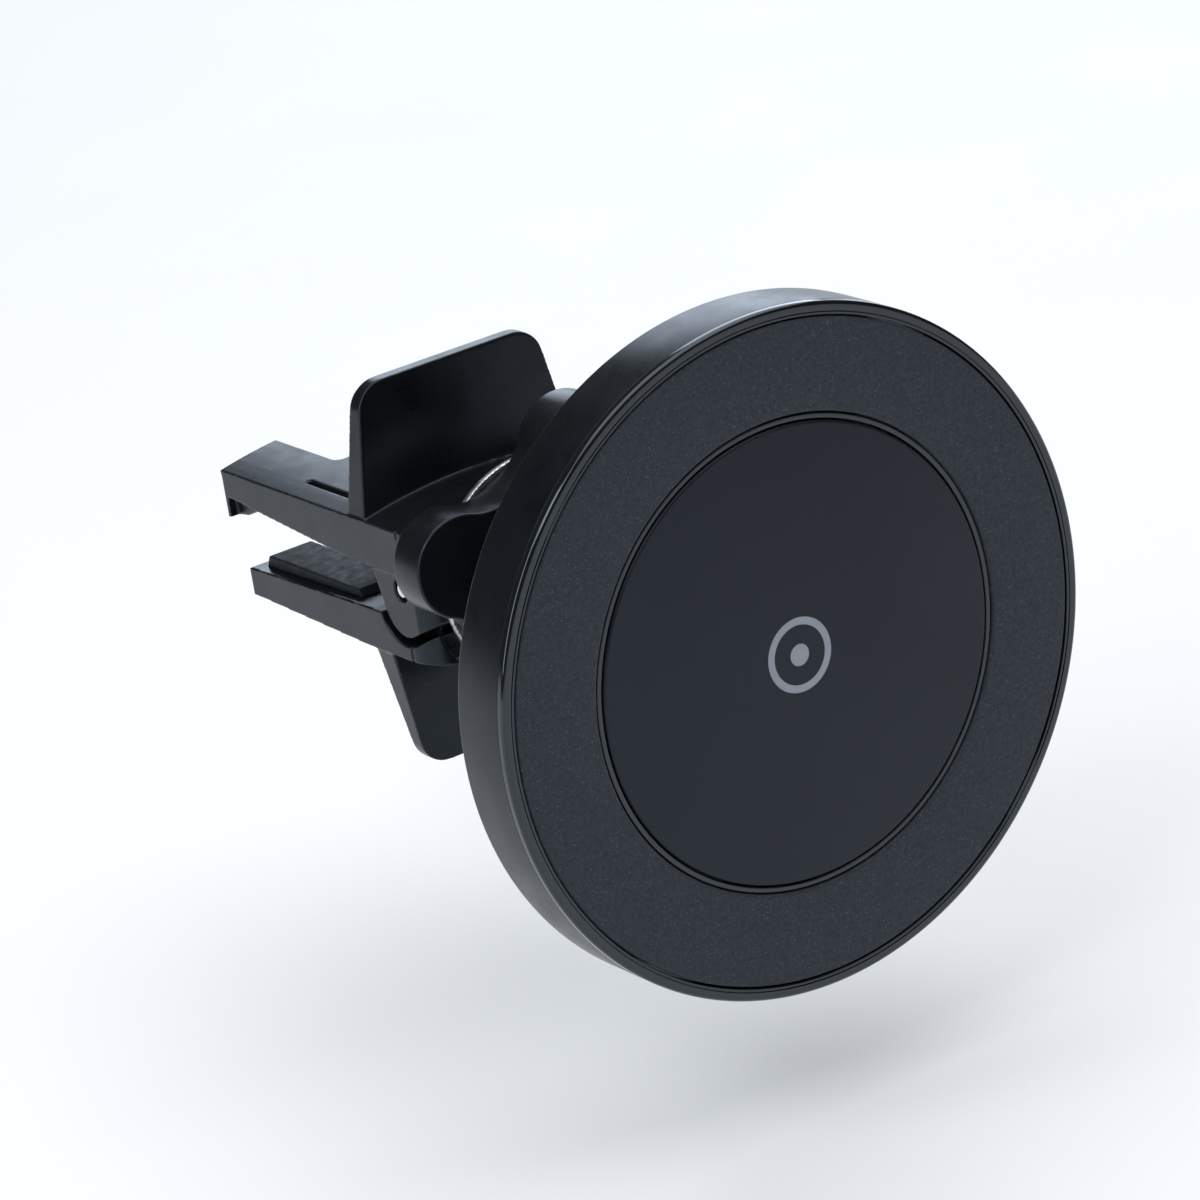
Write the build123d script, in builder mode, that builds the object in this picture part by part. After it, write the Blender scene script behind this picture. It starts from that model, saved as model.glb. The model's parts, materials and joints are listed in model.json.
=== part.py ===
from build123d import *
import os
from math import acos, atan2, cos, degrees, radians, sin, sqrt

os.makedirs("parts", exist_ok=True)

# Frame: origin midway between the jaws, where the vent blade is gripped.
# +Y runs out of the open end of the jaws, -Y towards the phone, +Z up, X across.

# Places along Y, all on the axis of the head
pivot_y = -17.6  # jaw hinge
ball_y = -29.5  # centre of the ball joint
face_y = -62.9  # silicone face that the phone rests on
rim_y = -56.0  # back edge of the head
clearance = 0.05  # running clearance on a radius

# Head
head_r = 31.0
grip_outer_r = 29.65
grip_inner_r = 21.4
plate_r = 20.6
wall = 1.2
bezel_edge = 0.75  # rounded front edge of the head
bezel_tail_depth = 2.7  # how far the bezel reaches back inside the skirt
bezel_tail_r = 30.25
grip_gap = 0.15
rim_chamfer = 0.25
bezel_inner_r = 29.0  # inside of the bezel's tail, round the carrier
plate_recess = 0.12
plate_edge_round = 0.25
plate_gap = 0.15  # round the centre disc and its trim ring
grip_thickness = 1.2
adhesive_thickness = 0.2
adhesive_inset = 0.2
carrier_gap = 0.1
carrier_skin = 0.7  # between the adhesive and the magnets
trough_gap = 0.3  # beside the magnets in their trough
carrier_web = 1.5  # wall inside the trough
pocket_step = 1.0  # the middle pocket stops short of the trough's floor
magnet_count = 18
magnet_inner_r = 23.1
magnet_outer_r = 26.9
magnet_thickness = 2.0
magnet_gap = 2.5  # degrees between neighbouring magnets
shunt_thickness = 0.6
neck_length = 10.0
neck_root_r = 14.0
neck_tip_r = 7.4
neck_flare = 2.5  # the back wall starts to rise this far outside the cone
neck_step_y = 0.9
neck_shoulder_y = 6.0
neck_shoulder_r = 8.6
cover_screw_circle_r = 17.5
cover_screw_count = 4
screw_head_r = 1.85
screw_head_depth = 0.7
screw_shank_r = 0.9
screw_length = 3.4
screw_slot_length = 2.2
screw_slot_width = 0.45
screw_slot_depth = 0.35
screw_post_r = 2.6
screw_pilot_r = 0.95
screw_pilot_depth = 3.2
mark_r = 3.4
mark_width = 0.7
mark_dot_r = 1.0
mark_depth = 0.2

# Ball joint
ball_r = 6.0
stem_r = 3.0
stud_thread_r = 2.45
stud_thread_length = 6.8
stud_shoulder = 1.2  # the stem widens by this much where it meets the hexagon
stud_shoulder_length = 2.0
insert_r = 4.0
insert_floor = 1.0  # below the end of the stud
hex_flats = 10.0
hex_height = 3.0
washer_r = 5.6
washer_thickness = 0.8
seat_inner_r = ball_r + clearance
seat_outer_r = 6.9
socket_r = seat_outer_r + clearance
front_ring_angles = (50, 84)  # from the phone side of the ball's axis
rear_seat_angles = (100, 180)

# Socket cup
cup_thread_r = 8.9
cup_front_y = -32.4
flange_front_y = -23.05
flange_back_y = -21.6
flange_r = 10.6
flange_round = 0.8
tang_half_width = 1.2
tang_r = 1.9

# Locking nut
lobe_count = 4
lobe_circle_r = 11.55
lobe_r = 4.9
lobe_angle = 159
lobe_blend_r = 5.5
nut_core_r = 10.15
nut_hub_r = 10.0
nut_back_y = -23.2
lobe_thickness = 4.3
nut_front_y = -34.4
nut_web = 2.0
nut_mouth_r = 6.5
nut_mouth_depth = 1.05  # where the mouth ends and the seat begins
nut_edge_round = 0.3

# Clip body
half_width = 12.2
arch_rise = 1.3
top_z = 7.3
bottom_z = -8.2
body_front_y = -21.6
corner_r = 3.0
arch_r = (half_width**2 + arch_rise**2) / (2 * arch_rise)
ear_inner_x = 9.9
ear_round = 3.0  # radius of the ears' lower point
ear_back_y = -13.0
ear_tip_y = -15.65
ear_tip_z = -5.95
ear_front_z = -2.9
saddle_gap = 0.8  # between the ears and the saddles they sit in
saddle_y = -15.2
saddle_z = -7.14
saddle_back_y = -13.74
saddle_front_z = -4.05
cavity_front_y = -20.4
cavity_back_y = -13.8
cavity_top_z = 4.9
prong_inner_x = 5.6
slot_root_y = 1.0
slot_round = 1.2
upper_tip_y = 12.3
upper_root_y = -8.9
upper_root_z = 1.6
hook_root_y = 6.7
hook_root_z = 2.9
hook_slope = (hook_root_z - upper_root_z) / (hook_root_y - upper_root_y)
hook_lip = 0.7  # full-width lip at the very tip
hook_length = 2.4
hook_tip_z = 1.2
hook_heel_z = 1.5
hook_draft = 0.2
hook_inset = 0.9  # the rest of the hook stands in from the side
ear_inset = 0.2  # the ears stand in from the body's sides below the seam
ear_seam_z = 1.55
seam_width = 0.2
seam_depth = 0.25
seam_height = 4.0
mark_groove_x = 9.7  # grooves along the top of the upper prongs
mark_groove_y = -4.0
mark_groove_length = 8.0
mark_groove_width = 0.5
mark_groove_depth = 1.3
lower_step = 0.5  # the lower jaw's front stands back from the upper jaw's
lower_tip_y = 9.9
lower_top_tip_z = -3.55
lower_top_root_y = -12.2
lower_top_root_z = -2.9
lower_under_y = -10.2
lower_under_root_z = -6.95
lower_under_tip_z = -6.3
lower_tip_draft = 0.1
cavity_start_y = -18.4
floor_z = -5.9
jaw_travel = radians(14)
relief_gap = 0.35  # between the opened jaw and the socket's flange
reach = 10.0  # cuts and limits run this far past the body

# Finger plates
plate_tip_half = 9.9
plate_flare = 0.175  # widening per millimetre towards the body
plate_corner_r = 3.0
plate_tip_thickness = 1.5
plate_root_thickness = 2.9
upper_plate_y = -11.8
lower_plate_y = -13.0
upper_plate_tip_z = 18.3
lower_plate_tip_z = -19.4
upper_plate_root_z = 5.2
lower_plate_root_z = -6.4

# Pads on the lower prongs
pad_height = 0.7
pad_ramp = 0.6
pad_inset = 1.2
pad_slot_inset = 0.5
pad_start_y = -8.6
pad_end_y = 8.4

# Hinge and springs
pin_r = 0.8
pin_half_length = 11.9
pin_recess_r = 1.1
pin_recess_depth = 0.7
pin_chamfer = 0.15
pin_fit = 0.02
tang_fit = 0.03
tang_slot_gap = 0.05
lug_inner_x = 6.5
lug_outer_x = 9.5
lug_r = 2.6
lug_shift = 0.4  # the lug's foot stands this far behind the pin
sleeve_outer_r = 1.4
sleeve_start_x = 1.35
sleeve_end_x = 6.3
coil_r = 1.95
wire_r = 0.4
coil_start_x = 1.8
coil_pitch = 0.9
coil_turns = 4
upper_leg_z = 3.6
lower_leg_z = -4.6


def y_plane(y):
    """A plane across the head's axis: local x is X, local y is Z, and it faces the phone."""
    return Plane.XZ.offset(-y)


def ring(inner_r, outer_r, front_y, back_y):
    """A flat ring about the head's axis."""
    with BuildPart() as body:
        with BuildSketch(y_plane(back_y)):
            Circle(outer_r)
            Circle(inner_r, mode=Mode.SUBTRACT)
        extrude(amount=back_y - front_y)
    return body.part


def save(piece, name):
    """Label a finished piece and write it."""
    piece.label = name
    export_step(piece, f"parts/{name}.step")


# ---------------------------------------------------------------- head

plate_y = face_y + plate_recess
grip_back_y = face_y + grip_thickness
carrier_front_y = grip_back_y + adhesive_thickness
bezel_shoulder_y = face_y + bezel_edge + clearance
bezel_back_y = face_y + bezel_tail_depth
magnet_front_y = carrier_front_y + carrier_skin
magnet_back_y = magnet_front_y + magnet_thickness
shunt_back_y = magnet_back_y + shunt_thickness
cover_inner_y = rim_y - wall
neck_tip_y = rim_y + neck_length

# Rear shell: skirt, back wall and the cone that carries the stud
with BuildPart() as head_back_cover:
    with BuildSketch(Plane.XY):
        with BuildLine():
            Polyline(
                (0, cover_inner_y),
                (head_r - wall, cover_inner_y),
                (head_r - wall, bezel_back_y + clearance),
                (bezel_tail_r + clearance, bezel_back_y + clearance),
                (bezel_tail_r + clearance, bezel_shoulder_y + clearance),
                (head_r, bezel_shoulder_y + clearance),
                (head_r, rim_y - rim_chamfer),
                (head_r - rim_chamfer, rim_y),
                (neck_root_r + neck_flare, rim_y),
                (neck_root_r, rim_y + neck_step_y),
                (neck_shoulder_r, rim_y + neck_shoulder_y),
                (neck_tip_r, neck_tip_y),
                (0, neck_tip_y),
                close=True,
            )
        make_face()
    revolve(axis=Axis.Y)
    with BuildSketch(y_plane(neck_tip_y)):
        Circle(insert_r)
    extrude(amount=stud_thread_length + insert_floor + 0.2, mode=Mode.SUBTRACT)
    with BuildSketch(y_plane(rim_y)):
        with PolarLocations(cover_screw_circle_r, cover_screw_count, start_angle=45):
            Circle(screw_head_r + 3 * clearance)
    extrude(amount=screw_head_depth, mode=Mode.SUBTRACT)
    with BuildSketch(y_plane(rim_y)):
        with PolarLocations(cover_screw_circle_r, cover_screw_count, start_angle=45):
            Circle(screw_shank_r + 4 * clearance)
    extrude(amount=wall, mode=Mode.SUBTRACT)
save(head_back_cover.part, "head_back_cover")

# Gloss front ring: rounded front edge, and a tail inside the skirt that traps the carrier
with BuildPart() as bezel_ring:
    with BuildSketch(Plane.XY):
        with BuildLine():
            edge_start = (head_r - bezel_edge, face_y)
            edge_end = (head_r, face_y + bezel_edge)
            Line((grip_outer_r + grip_gap, face_y), edge_start)
            RadiusArc(edge_start, edge_end, -bezel_edge)
            Polyline(
                edge_end,
                (head_r, bezel_shoulder_y),
                (bezel_tail_r, bezel_shoulder_y),
                (bezel_tail_r, bezel_back_y),
                (bezel_inner_r, bezel_back_y),
                (bezel_inner_r, carrier_front_y + clearance),
                (grip_outer_r + grip_gap, carrier_front_y + clearance),
                (grip_outer_r + grip_gap, face_y),
            )
        make_face()
    revolve(axis=Axis.Y)
save(bezel_ring.part, "bezel_ring")

save(ring(grip_inner_r, grip_outer_r, face_y, grip_back_y), "grip_ring")
carrier_r = bezel_inner_r - carrier_gap
save(ring(grip_inner_r + adhesive_inset, carrier_r, grip_back_y, carrier_front_y), "grip_adhesive")
trim_inner_r = plate_r + plate_gap
trim_outer_r = grip_inner_r - plate_gap
save(ring(trim_inner_r, trim_outer_r, plate_y + plate_gap, carrier_front_y), "centre_trim_ring")

# Centre disc with a shallow pocket for the mark
with BuildPart() as centre_plate:
    with BuildSketch(y_plane(carrier_front_y)):
        Circle(plate_r)
    extrude(amount=carrier_front_y - plate_y)
    fillet(centre_plate.edges().filter_by(GeomType.CIRCLE).sort_by(Axis.Y)[0], plate_edge_round)
    with BuildSketch(y_plane(plate_y)):
        Circle(mark_r)
        Circle(mark_r - mark_width, mode=Mode.SUBTRACT)
        Circle(mark_dot_r)
    extrude(amount=-mark_depth, mode=Mode.SUBTRACT)
save(centre_plate.part, "centre_plate")

# Printed mark: a plain ring and a dot, flush with the disc
with BuildPart() as centre_mark:
    with BuildSketch(y_plane(plate_y + mark_depth)):
        Circle(mark_r)
        Circle(mark_r - mark_width, mode=Mode.SUBTRACT)
        Circle(mark_dot_r)
    extrude(amount=mark_depth)
save(centre_mark.part, "centre_mark")

# Carrier: a disc with the magnet trough and the screw posts on its back
with BuildPart() as magnet_carrier:
    with BuildSketch(y_plane(cover_inner_y)):
        Circle(carrier_r)
    extrude(amount=cover_inner_y - carrier_front_y)
    with BuildSketch(y_plane(cover_inner_y)):
        Circle(magnet_outer_r + trough_gap)
        Circle(magnet_inner_r - trough_gap, mode=Mode.SUBTRACT)
    extrude(amount=cover_inner_y - magnet_front_y, mode=Mode.SUBTRACT)
    with BuildSketch(y_plane(cover_inner_y)):
        Circle(magnet_inner_r - carrier_web)
        with PolarLocations(cover_screw_circle_r, cover_screw_count, start_angle=45):
            Circle(screw_post_r, mode=Mode.SUBTRACT)
    extrude(amount=cover_inner_y - magnet_front_y - pocket_step, mode=Mode.SUBTRACT)
    with BuildSketch(y_plane(cover_inner_y)):
        with PolarLocations(cover_screw_circle_r, cover_screw_count, start_angle=45):
            Circle(screw_pilot_r)
    extrude(amount=screw_pilot_depth, mode=Mode.SUBTRACT)
save(magnet_carrier.part, "magnet_carrier")

# Magnets: arc segments standing side by side in the trough
segment_angle = 360 / magnet_count - magnet_gap
with BuildSketch() as magnet_outline:
    with BuildLine():
        inner = CenterArc((0, 0), magnet_inner_r, 0, segment_angle)
        outer = CenterArc((0, 0), magnet_outer_r, 0, segment_angle)
        Line(inner @ 0, outer @ 0)
        Line(inner @ 1, outer @ 1)
    make_face()
with BuildPart() as magnet_segments:
    with BuildSketch(y_plane(magnet_back_y)):
        with PolarLocations(0, magnet_count):
            add(magnet_outline.sketch)
    extrude(amount=magnet_thickness)
save(magnet_segments.part, "magnet_segments")

save(ring(magnet_inner_r, magnet_outer_r, magnet_back_y, shunt_back_y), "shunt_ring")

# Cover screws: pan heads sunk in the back wall
with BuildPart() as cover_screws:
    with BuildSketch(y_plane(rim_y)):
        with PolarLocations(cover_screw_circle_r, cover_screw_count, start_angle=45):
            Circle(screw_head_r)
    extrude(amount=screw_head_depth)
    with BuildSketch(y_plane(rim_y)):
        with PolarLocations(cover_screw_circle_r, cover_screw_count, start_angle=45):
            Rectangle(screw_slot_length, screw_slot_width)
            Rectangle(screw_slot_width, screw_slot_length)
    extrude(amount=screw_slot_depth, mode=Mode.SUBTRACT)
    with BuildSketch(y_plane(rim_y - screw_head_depth)):
        with PolarLocations(cover_screw_circle_r, cover_screw_count, start_angle=45):
            Circle(screw_shank_r)
    extrude(amount=screw_length)
save(cover_screws.part, "cover_screws")

# ---------------------------------------------------------------- ball stud

insert_front_y = neck_tip_y - stud_thread_length - insert_floor
save(ring(stud_thread_r + clearance, insert_r, insert_front_y, neck_tip_y), "thread_insert")
save(
    ring(stud_thread_r + clearance, washer_r, neck_tip_y, neck_tip_y + washer_thickness),
    "stud_washer",
)

hex_back_y = neck_tip_y + washer_thickness + hex_height
stem_end_y = ball_y - sqrt(ball_r**2 - stem_r**2) + 0.3

# Stud: threaded end, hexagon, waisted stem and ball
with BuildPart() as ball_stud:
    with BuildSketch(y_plane(hex_back_y)):
        RegularPolygon(hex_flats / 2, 6, major_radius=False)
    extrude(amount=hex_height)
    with BuildSketch(y_plane(neck_tip_y + washer_thickness)):
        Circle(stud_thread_r)
    extrude(amount=stud_thread_length + washer_thickness)
    with BuildSketch(Plane.XY):
        with BuildLine():
            Polyline(
                (0, hex_back_y),
                (stem_r + stud_shoulder, hex_back_y),
                (stem_r, hex_back_y + stud_shoulder_length),
                (stem_r, stem_end_y),
                (0, stem_end_y),
                close=True,
            )
        make_face()
    revolve(axis=Axis.Y)
    with Locations((0, ball_y, 0)):
        Sphere(ball_r)
save(ball_stud.part, "ball_stud")


def ball_shell(start_angle, end_angle):
    """A spherical shell round the ball, between two angles from the phone side of its axis."""
    first = start_angle - 90
    span = end_angle - start_angle
    with BuildPart() as body:
        with BuildSketch(Plane.XY):
            with BuildLine():
                inner = CenterArc((0, ball_y), seat_inner_r, first, span)
                outer = CenterArc((0, ball_y), seat_outer_r, first, span)
                Line(inner @ 0, outer @ 0)
                Line(inner @ 1, outer @ 1)
            make_face()
        revolve(axis=Axis.Y)
    return body.part


save(ball_shell(*front_ring_angles), "front_ball_ring")
save(ball_shell(*rear_seat_angles), "rear_ball_seat")

# ---------------------------------------------------------------- socket and nut

# Socket cup: threaded tube, round flange and a tang on the hinge pin
with BuildPart() as socket_cup:
    with BuildSketch(Plane.XY):
        with BuildLine():
            Polyline(
                (0, flange_back_y),
                (flange_r - flange_round, flange_back_y),
                (flange_r, flange_back_y - flange_round),
                (flange_r, flange_front_y),
                (cup_thread_r, flange_front_y),
                (cup_thread_r, cup_front_y),
                (0, cup_front_y),
                close=True,
            )
        make_face()
    revolve(axis=Axis.Y)
    with BuildSketch(y_plane(ball_y)):
        Circle(socket_r)
    extrude(amount=ball_y - cup_front_y, mode=Mode.SUBTRACT)
    with Locations((0, ball_y, 0)):
        Sphere(socket_r, mode=Mode.SUBTRACT)
    with BuildSketch(Plane.YZ):
        with Locations(((flange_back_y + pivot_y) / 2, 0)):
            Rectangle(pivot_y - flange_back_y, 2 * tang_r)
        with Locations((pivot_y, 0)):
            Circle(tang_r)
            Circle(pin_r + tang_fit, mode=Mode.SUBTRACT)
    extrude(amount=tang_half_width, both=True)
save(socket_cup.part, "socket_cup")

# Locking nut: four round lobes on a threaded hub that closes over the ball
bore_front_y = nut_front_y + nut_web
seat_edge_y = nut_front_y + nut_mouth_depth
with BuildPart() as locking_nut:
    with BuildSketch(y_plane(nut_back_y)) as lobes:
        Circle(nut_core_r)
        with PolarLocations(lobe_circle_r, lobe_count, start_angle=lobe_angle):
            Circle(lobe_r)
        fillet(lobes.vertices(), lobe_blend_r)
    extrude(amount=lobe_thickness)
    fillet(locking_nut.faces().sort_by(Axis.Y)[0].edges(), nut_edge_round)
    fillet(locking_nut.faces().sort_by(Axis.Y)[-1].edges(), nut_edge_round)
    with BuildSketch(y_plane(nut_back_y)):
        Circle(nut_hub_r)
    extrude(amount=nut_back_y - nut_front_y)
    with BuildSketch(Plane.XY):
        with BuildLine():
            mouth = Polyline(
                (0, nut_front_y),
                (nut_mouth_r, nut_front_y),
                (sqrt(socket_r**2 - (ball_y - seat_edge_y) ** 2), seat_edge_y),
            )
            seat_end = (sqrt(socket_r**2 - (ball_y - bore_front_y) ** 2), bore_front_y)
            RadiusArc(mouth @ 1, seat_end, socket_r)
            Polyline(
                seat_end,
                (cup_thread_r + clearance, bore_front_y),
                (cup_thread_r + clearance, nut_back_y),
                (0, nut_back_y),
                (0, nut_front_y),
            )
        make_face()
    revolve(axis=Axis.Y, mode=Mode.SUBTRACT)
save(locking_nut.part, "locking_nut")

# ---------------------------------------------------------------- clip


def finger_plate(root_z, tip_z, mid_y):
    """A flat plate that narrows and thins towards its tip, with rounded outer corners."""
    height = tip_z - root_z
    side = 1 if height > 0 else -1
    root_half = plate_tip_half + plate_flare * abs(height)
    with BuildPart() as plate:
        with BuildSketch(Plane.YZ):
            with BuildLine():
                Polyline(
                    (mid_y - plate_root_thickness / 2, root_z),
                    (mid_y + plate_root_thickness / 2, root_z),
                    (mid_y + plate_tip_thickness / 2, tip_z),
                    (mid_y - plate_tip_thickness / 2, tip_z),
                    close=True,
                )
            make_face()
        extrude(amount=half_width + reach, both=True)
        with BuildSketch(y_plane(mid_y)) as outline:
            with BuildLine():
                Polyline(
                    (-root_half, root_z),
                    (root_half, root_z),
                    (plate_tip_half, tip_z),
                    (-plate_tip_half, tip_z),
                    close=True,
                )
            make_face()
            tip_corners = outline.vertices().sort_by(Axis.Y)
            fillet(tip_corners[-2:] if side > 0 else tip_corners[:2], plate_corner_r)
        extrude(amount=plate_root_thickness, both=True, mode=Mode.INTERSECT)
    return plate.part


def body_limits(front_y, tip_y, crown_z, side):
    """The space a jaw fills: rounded front corners in plan, and an arched crown along Y."""
    with BuildPart() as body:
        with BuildSketch(Plane.XY.offset(-reach)) as plan:
            with Locations((0, (front_y + tip_y) / 2)):
                Rectangle(2 * half_width, tip_y - front_y)
            fillet(plan.vertices().group_by(Axis.Y)[0], corner_r)
        extrude(amount=2 * reach)
        with BuildSketch(Plane.XZ):
            with Locations((0, crown_z - side * arch_r)):
                Circle(arch_r)
        extrude(amount=4 * reach, both=True, mode=Mode.INTERSECT)
    return body.part


upper_plate = finger_plate(upper_plate_root_z, upper_plate_tip_z, upper_plate_y)
lower_plate = finger_plate(lower_plate_root_z, lower_plate_tip_z, lower_plate_y)
upper_limits = body_limits(body_front_y, upper_tip_y, top_z, 1)
lower_front_y = body_front_y + lower_step
lower_limits = body_limits(lower_front_y, lower_tip_y, bottom_z, -1)

# Upper jaw: body, ears, two hooked prongs and the upper finger plate
lip_y = upper_tip_y - hook_lip
with BuildPart() as upper_jaw:
    with BuildSketch(Plane.YZ) as profile:
        with BuildLine():
            Polyline(
                (body_front_y, reach),
                (upper_tip_y, reach),
                (upper_tip_y - hook_draft, hook_tip_z),
                (upper_tip_y - hook_length, hook_heel_z),
                (hook_root_y, hook_root_z),
                (upper_root_y, upper_root_z),
                (ear_back_y, upper_root_z),
                (ear_tip_y, ear_tip_z),
                (body_front_y, ear_front_z),
                close=True,
            )
        make_face()
        fillet(profile.vertices().sort_by(Axis.Y)[0], ear_round)
    extrude(amount=half_width, both=True)
    add(upper_limits, mode=Mode.INTERSECT)
    with BuildSketch(Plane.XY.offset(-reach)) as slot:
        with Locations((0, slot_root_y + reach)):
            Rectangle(2 * prong_inner_x, 2 * reach)
        fillet(slot.vertices().group_by(Axis.Y)[0], slot_round)
    extrude(amount=2 * reach, mode=Mode.SUBTRACT)
    with Locations((0, (cavity_front_y + cavity_back_y) / 2, cavity_top_z)):
        Box(
            2 * ear_inner_x,
            cavity_back_y - cavity_front_y,
            2 * reach,
            align=(Align.CENTER, Align.CENTER, Align.MAX),
            mode=Mode.SUBTRACT,
        )
    with Locations((0, body_front_y, 0)):
        Box(
            2 * (tang_half_width + tang_slot_gap),
            2 * (cavity_front_y - body_front_y + tang_slot_gap),
            2 * (tang_r + tang_slot_gap),
            mode=Mode.SUBTRACT,
        )
    add(upper_plate)
    with BuildSketch(Plane.YZ.offset(-half_width)):
        with Locations((pivot_y, 0)):
            Circle(pin_r + pin_fit)
    extrude(amount=2 * half_width, mode=Mode.SUBTRACT)
    for side in (-1, 1):
        with BuildSketch(Plane.YZ.offset(side * half_width)):
            with Locations((pivot_y, 0)):
                Circle(pin_recess_r)
        extrude(amount=-side * pin_recess_depth, mode=Mode.SUBTRACT)
        with Locations((side * mark_groove_x, mark_groove_y, top_z)):
            Box(mark_groove_width, mark_groove_length, 2 * mark_groove_depth, mode=Mode.SUBTRACT)
        with BuildSketch(Plane.YZ.offset(side * (half_width + lower_step))):
            with BuildLine():
                Polyline(
                    (hook_root_y, hook_root_z),
                    (lip_y, hook_root_z + hook_slope * (lip_y - hook_root_y)),
                    (lip_y, 0),
                    (hook_root_y, 0),
                    close=True,
                )
            make_face()
        extrude(amount=-side * (lower_step + hook_inset), mode=Mode.SUBTRACT)
        with Locations((side * half_width, pivot_y, ear_seam_z)):
            Box(
                2 * ear_inset,
                12,
                12,
                align=(Align.CENTER, Align.CENTER, Align.MAX),
                mode=Mode.SUBTRACT,
            )
        with Locations((side * half_width, body_front_y + corner_r, top_z)):
            Box(2 * seam_depth, seam_width, seam_height, mode=Mode.SUBTRACT)
save(upper_jaw.part, "upper_jaw")

# Lower jaw: floor, saddles under the ears, hinge lugs, two prongs and the lower finger plate
relief_reach = flange_back_y + relief_gap - pivot_y
relief_plane = Plane(
    origin=(0, pivot_y + relief_reach * cos(jaw_travel), relief_reach * sin(jaw_travel)),
    x_dir=(1, 0, 0),
    z_dir=(0, -cos(jaw_travel), -sin(jaw_travel)),
)
with BuildPart() as lower_jaw:
    with BuildSketch(Plane.YZ) as profile:
        with BuildLine():
            Polyline(
                (lower_front_y, -reach),
                (lower_under_y, -reach),
                (lower_under_y, lower_under_root_z),
                (lower_tip_y - lower_tip_draft, lower_under_tip_z),
                (lower_tip_y, lower_top_tip_z),
                (lower_top_root_y, lower_top_root_z),
                (saddle_back_y, lower_top_root_z),
                (saddle_y, saddle_z),
                (lower_front_y, saddle_front_z),
                close=True,
            )
        make_face()
        saddle = profile.vertices().sort_by_distance((saddle_y, saddle_z))[0]
        fillet(saddle, ear_round + saddle_gap)
    extrude(amount=half_width, both=True)
    add(lower_limits, mode=Mode.INTERSECT)
    with BuildSketch(Plane.XY.offset(-reach)) as slot:
        with Locations((0, slot_root_y + reach)):
            Rectangle(2 * prong_inner_x, 2 * reach)
        fillet(slot.vertices().group_by(Axis.Y)[0], slot_round)
    extrude(amount=2 * reach, mode=Mode.SUBTRACT)
    with Locations((0, (cavity_start_y + cavity_back_y) / 2, floor_z)):
        Box(
            2 * ear_inner_x,
            cavity_back_y - cavity_start_y,
            reach,
            align=(Align.CENTER, Align.CENTER, Align.MIN),
            mode=Mode.SUBTRACT,
        )
    with BuildSketch(relief_plane):
        Circle(flange_r + relief_gap)
    extrude(amount=reach, mode=Mode.SUBTRACT)
    add(lower_plate)
    for side in (-1, 1):
        with BuildSketch(Plane.YZ.offset(side * lug_inner_x)):
            with Locations((pivot_y + lug_shift, floor_z / 2)):
                Rectangle(2 * (lug_r - lug_shift), lug_shift - floor_z)
            with Locations((pivot_y, 0)):
                Circle(lug_r)
        extrude(amount=side * (lug_outer_x - lug_inner_x))
    with BuildSketch(Plane.YZ.offset(-half_width)):
        with Locations((pivot_y, 0)):
            Circle(pin_r + clearance)
    extrude(amount=2 * half_width, mode=Mode.SUBTRACT)
    seam_z = bottom_z + seam_height / 2
    for side in (-1, 1):
        with Locations((side * half_width, lower_front_y + corner_r, seam_z)):
            Box(2 * seam_depth, seam_width, seam_height, mode=Mode.SUBTRACT)
save(lower_jaw.part, "lower_jaw")

# Rubber pads on the lower prongs
prong_slope = (lower_top_tip_z - lower_top_root_z) / (lower_tip_y - lower_top_root_y)
pad_start_z = lower_top_root_z + prong_slope * (pad_start_y - lower_top_root_y)
pad_end_z = lower_top_root_z + prong_slope * (pad_end_y - lower_top_root_y)
pad_inner_x = prong_inner_x + pad_slot_inset
pad_outer_x = half_width - pad_inset
with BuildPart() as lower_jaw_pads:
    for side in (-1, 1):
        with BuildSketch(Plane.YZ.offset(side * pad_inner_x)):
            with BuildLine():
                Polyline(
                    (pad_start_y, pad_start_z),
                    (pad_end_y, pad_end_z),
                    (pad_end_y - pad_ramp, pad_start_z + pad_height),
                    (pad_start_y + pad_ramp, pad_start_z + pad_height),
                    close=True,
                )
            make_face()
        extrude(amount=side * (pad_outer_x - pad_inner_x))
save(lower_jaw_pads.part, "lower_jaw_pads")

# Hinge pin with chamfered ends
with BuildPart() as pivot_pin:
    with BuildSketch(Plane.YZ.offset(-pin_half_length)):
        with Locations((pivot_y, 0)):
            Circle(pin_r)
    extrude(amount=2 * pin_half_length)
    chamfer(pivot_pin.edges().filter_by(GeomType.CIRCLE), pin_chamfer)
save(pivot_pin.part, "pivot_pin")

# Sleeves that centre the springs on the pin
with BuildPart() as spring_sleeves:
    for side in (-1, 1):
        with BuildSketch(Plane.YZ.offset(side * sleeve_start_x)):
            with Locations((pivot_y, 0)):
                Circle(sleeve_outer_r)
                Circle(pin_r + clearance, mode=Mode.SUBTRACT)
        extrude(amount=side * (sleeve_end_x - sleeve_start_x))
save(spring_sleeves.part, "spring_sleeves")

# Torsion springs: each coil runs about the pin, and its two legs lean back on the jaws
leg_reach_y = cavity_back_y - wire_r - 2 * clearance - pivot_y


def leg_angle(reach_z, turn):
    """The angle about the pin at which a leg to this height leaves the coil."""
    offset = degrees(acos(coil_r / sqrt(leg_reach_y**2 + reach_z**2)))
    return degrees(atan2(reach_z, leg_reach_y)) + turn * offset


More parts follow.
